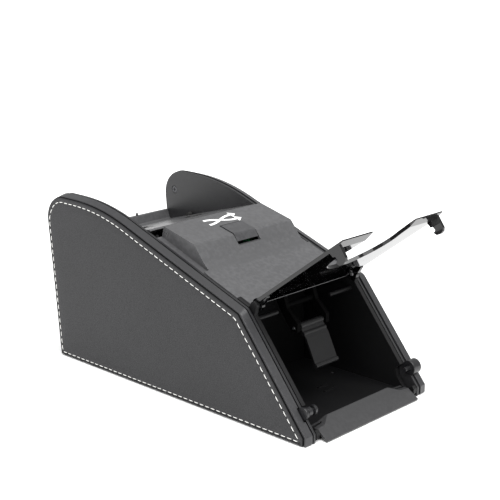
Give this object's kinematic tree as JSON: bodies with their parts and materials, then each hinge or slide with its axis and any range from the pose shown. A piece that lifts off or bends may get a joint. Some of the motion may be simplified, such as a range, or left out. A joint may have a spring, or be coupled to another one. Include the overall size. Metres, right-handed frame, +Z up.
{
  "type": "automatic card shuffler",
  "caption": "Battery card shuffler: wedge body with stitched leatherette sides, rear feed tray, shuffle head with push button and front dealing chamber with a hinged cover.",
  "frame": {"origin": "centre of the object's box on the table, under the feet", "axes": "+Z up, -Y towards the dealing chamber and its lip, +Y towards the feed tray, +X to the right as seen from the dealing end"},
  "size_m": [0.126, 0.2676, 0.1321],
  "materials": {
    "leather": "matt pebbled leatherette",
    "band": "satin moulded ABS",
    "body": "fine textured ABS",
    "inner": "dark inner moulding",
    "gloss": "polished black acrylic",
    "button": "smooth satin ABS",
    "rubber": "matt rubber",
    "steel": "ground steel",
    "gear": "natural acetal",
    "zinc": "zinc plated screws",
    "board": "green laminate board",
    "cell": "plain wrapped cell",
    "contact": "plated spring brass",
    "can": "rolled steel motor can"
  },
  "bodies": {
    "housing": {"left_side_frame": "band", "right_side_frame": "band", "left_leather_panel": "leather", "right_leather_panel": "leather", "left_inner_wall": "body", "right_inner_wall": "body", "left_latch_pin": "body", "right_latch_pin": "body", "side_screws": "zinc", "base_plate": "inner", "base_screws": "zinc", "rubber_feet": "rubber", "card_chamber": "inner", "chamber_back": "inner", "front_lip": "band", "rear_tray": "body", "tray_bumpers": "rubber", "rear_panel": "body", "head_cover": "band", "button_spring": "steel", "switch_board": "board", "push_switch": "inner", "board_posts": "inner", "cover_hinge_pins": "steel", "flap_pin": "steel", "flap_bracket": "inner", "left_gear_plate": "inner", "right_gear_plate": "inner", "shaft_bushes": "contact", "gear_pins": "steel", "motor_can": "can", "battery_tray": "inner", "batteries": "cell", "battery_contacts": "contact"},
    "cover": {"front_cover": "gloss"},
    "button": {"shuffle_button": "button"},
    "flap": {"card_flap": "body"},
    "feed_roller": {"feed_shaft": "steel", "feed_hubs": "gear", "feed_tyres": "rubber", "feed_gear": "gear"},
    "exit_roller": {"exit_shaft": "steel", "exit_hubs": "gear", "exit_tyres": "rubber", "exit_gear": "gear"},
    "nip_roller": {"nip_shaft": "steel", "nip_tyres": "rubber"},
    "idler": {"idler_gear": "gear"},
    "compound": {"compound_gear": "gear"},
    "motor_rotor": {"motor_shaft": "steel", "motor_pinion": "contact"},
    "door": {"battery_door": "body"}
  },
  "joints": [
    {"name": "cover_hinge", "type": "hinge", "parent": "housing", "child": "cover", "pos_m": [0, -0.06218, 0.077], "axis": [1, 0, 0], "range_deg": [0, 84.8]},
    {"name": "button_press", "type": "slide", "parent": "housing", "child": "button", "axis": [0, 0.2418, -0.9703], "range_m": [0, 0.0015], "stiffness_N_per_m": 300, "springref_m": -0.002, "deforming": ["button_spring"]},
    {"name": "flap_swing", "type": "hinge", "parent": "housing", "child": "flap", "pos_m": [0, -0.06478, 0.0538], "axis": [-1, 0, 0], "range_deg": [0, 30]},
    {"name": "door_hinge", "type": "hinge", "parent": "housing", "child": "door", "pos_m": [0, 0.12349, 0.01463], "axis": [-1, 0, 0], "range_deg": [0, 90]},
    {"name": "feed_spin", "type": "hinge", "parent": "housing", "child": "feed_roller", "pos_m": [0, 0.07082, 0.0873], "axis": [1, 0, 0], "continuous": true},
    {"name": "exit_spin", "type": "hinge", "parent": "housing", "child": "exit_roller", "pos_m": [0, 0.02182, 0.0949], "axis": [1, 0, 0], "continuous": true},
    {"name": "nip_spin", "type": "hinge", "parent": "housing", "child": "nip_roller", "pos_m": [0, 0.02182, 0.1072], "axis": [1, 0, 0], "continuous": true},
    {"name": "idler_spin", "type": "hinge", "parent": "housing", "child": "idler", "pos_m": [0, 0.04348, 0.08125], "axis": [1, 0, 0], "continuous": true},
    {"name": "compound_spin", "type": "hinge", "parent": "housing", "child": "compound", "pos_m": [0, 0.05512, 0.05936], "axis": [1, 0, 0], "continuous": true},
    {"name": "motor_spin", "type": "hinge", "parent": "housing", "child": "motor_rotor", "pos_m": [0, 0.03658, 0.05187], "axis": [1, 0, 0], "continuous": true}
  ],
  "couplings": [
    {"joint": "idler_spin", "follows": "feed_spin", "ratio": -0.4},
    {"joint": "exit_spin", "follows": "feed_spin", "ratio": 1.4286},
    {"joint": "nip_spin", "follows": "feed_spin", "ratio": -6.4935},
    {"joint": "compound_spin", "follows": "feed_spin", "ratio": 1.6667},
    {"joint": "motor_spin", "follows": "feed_spin", "ratio": -6.6667}
  ]
}
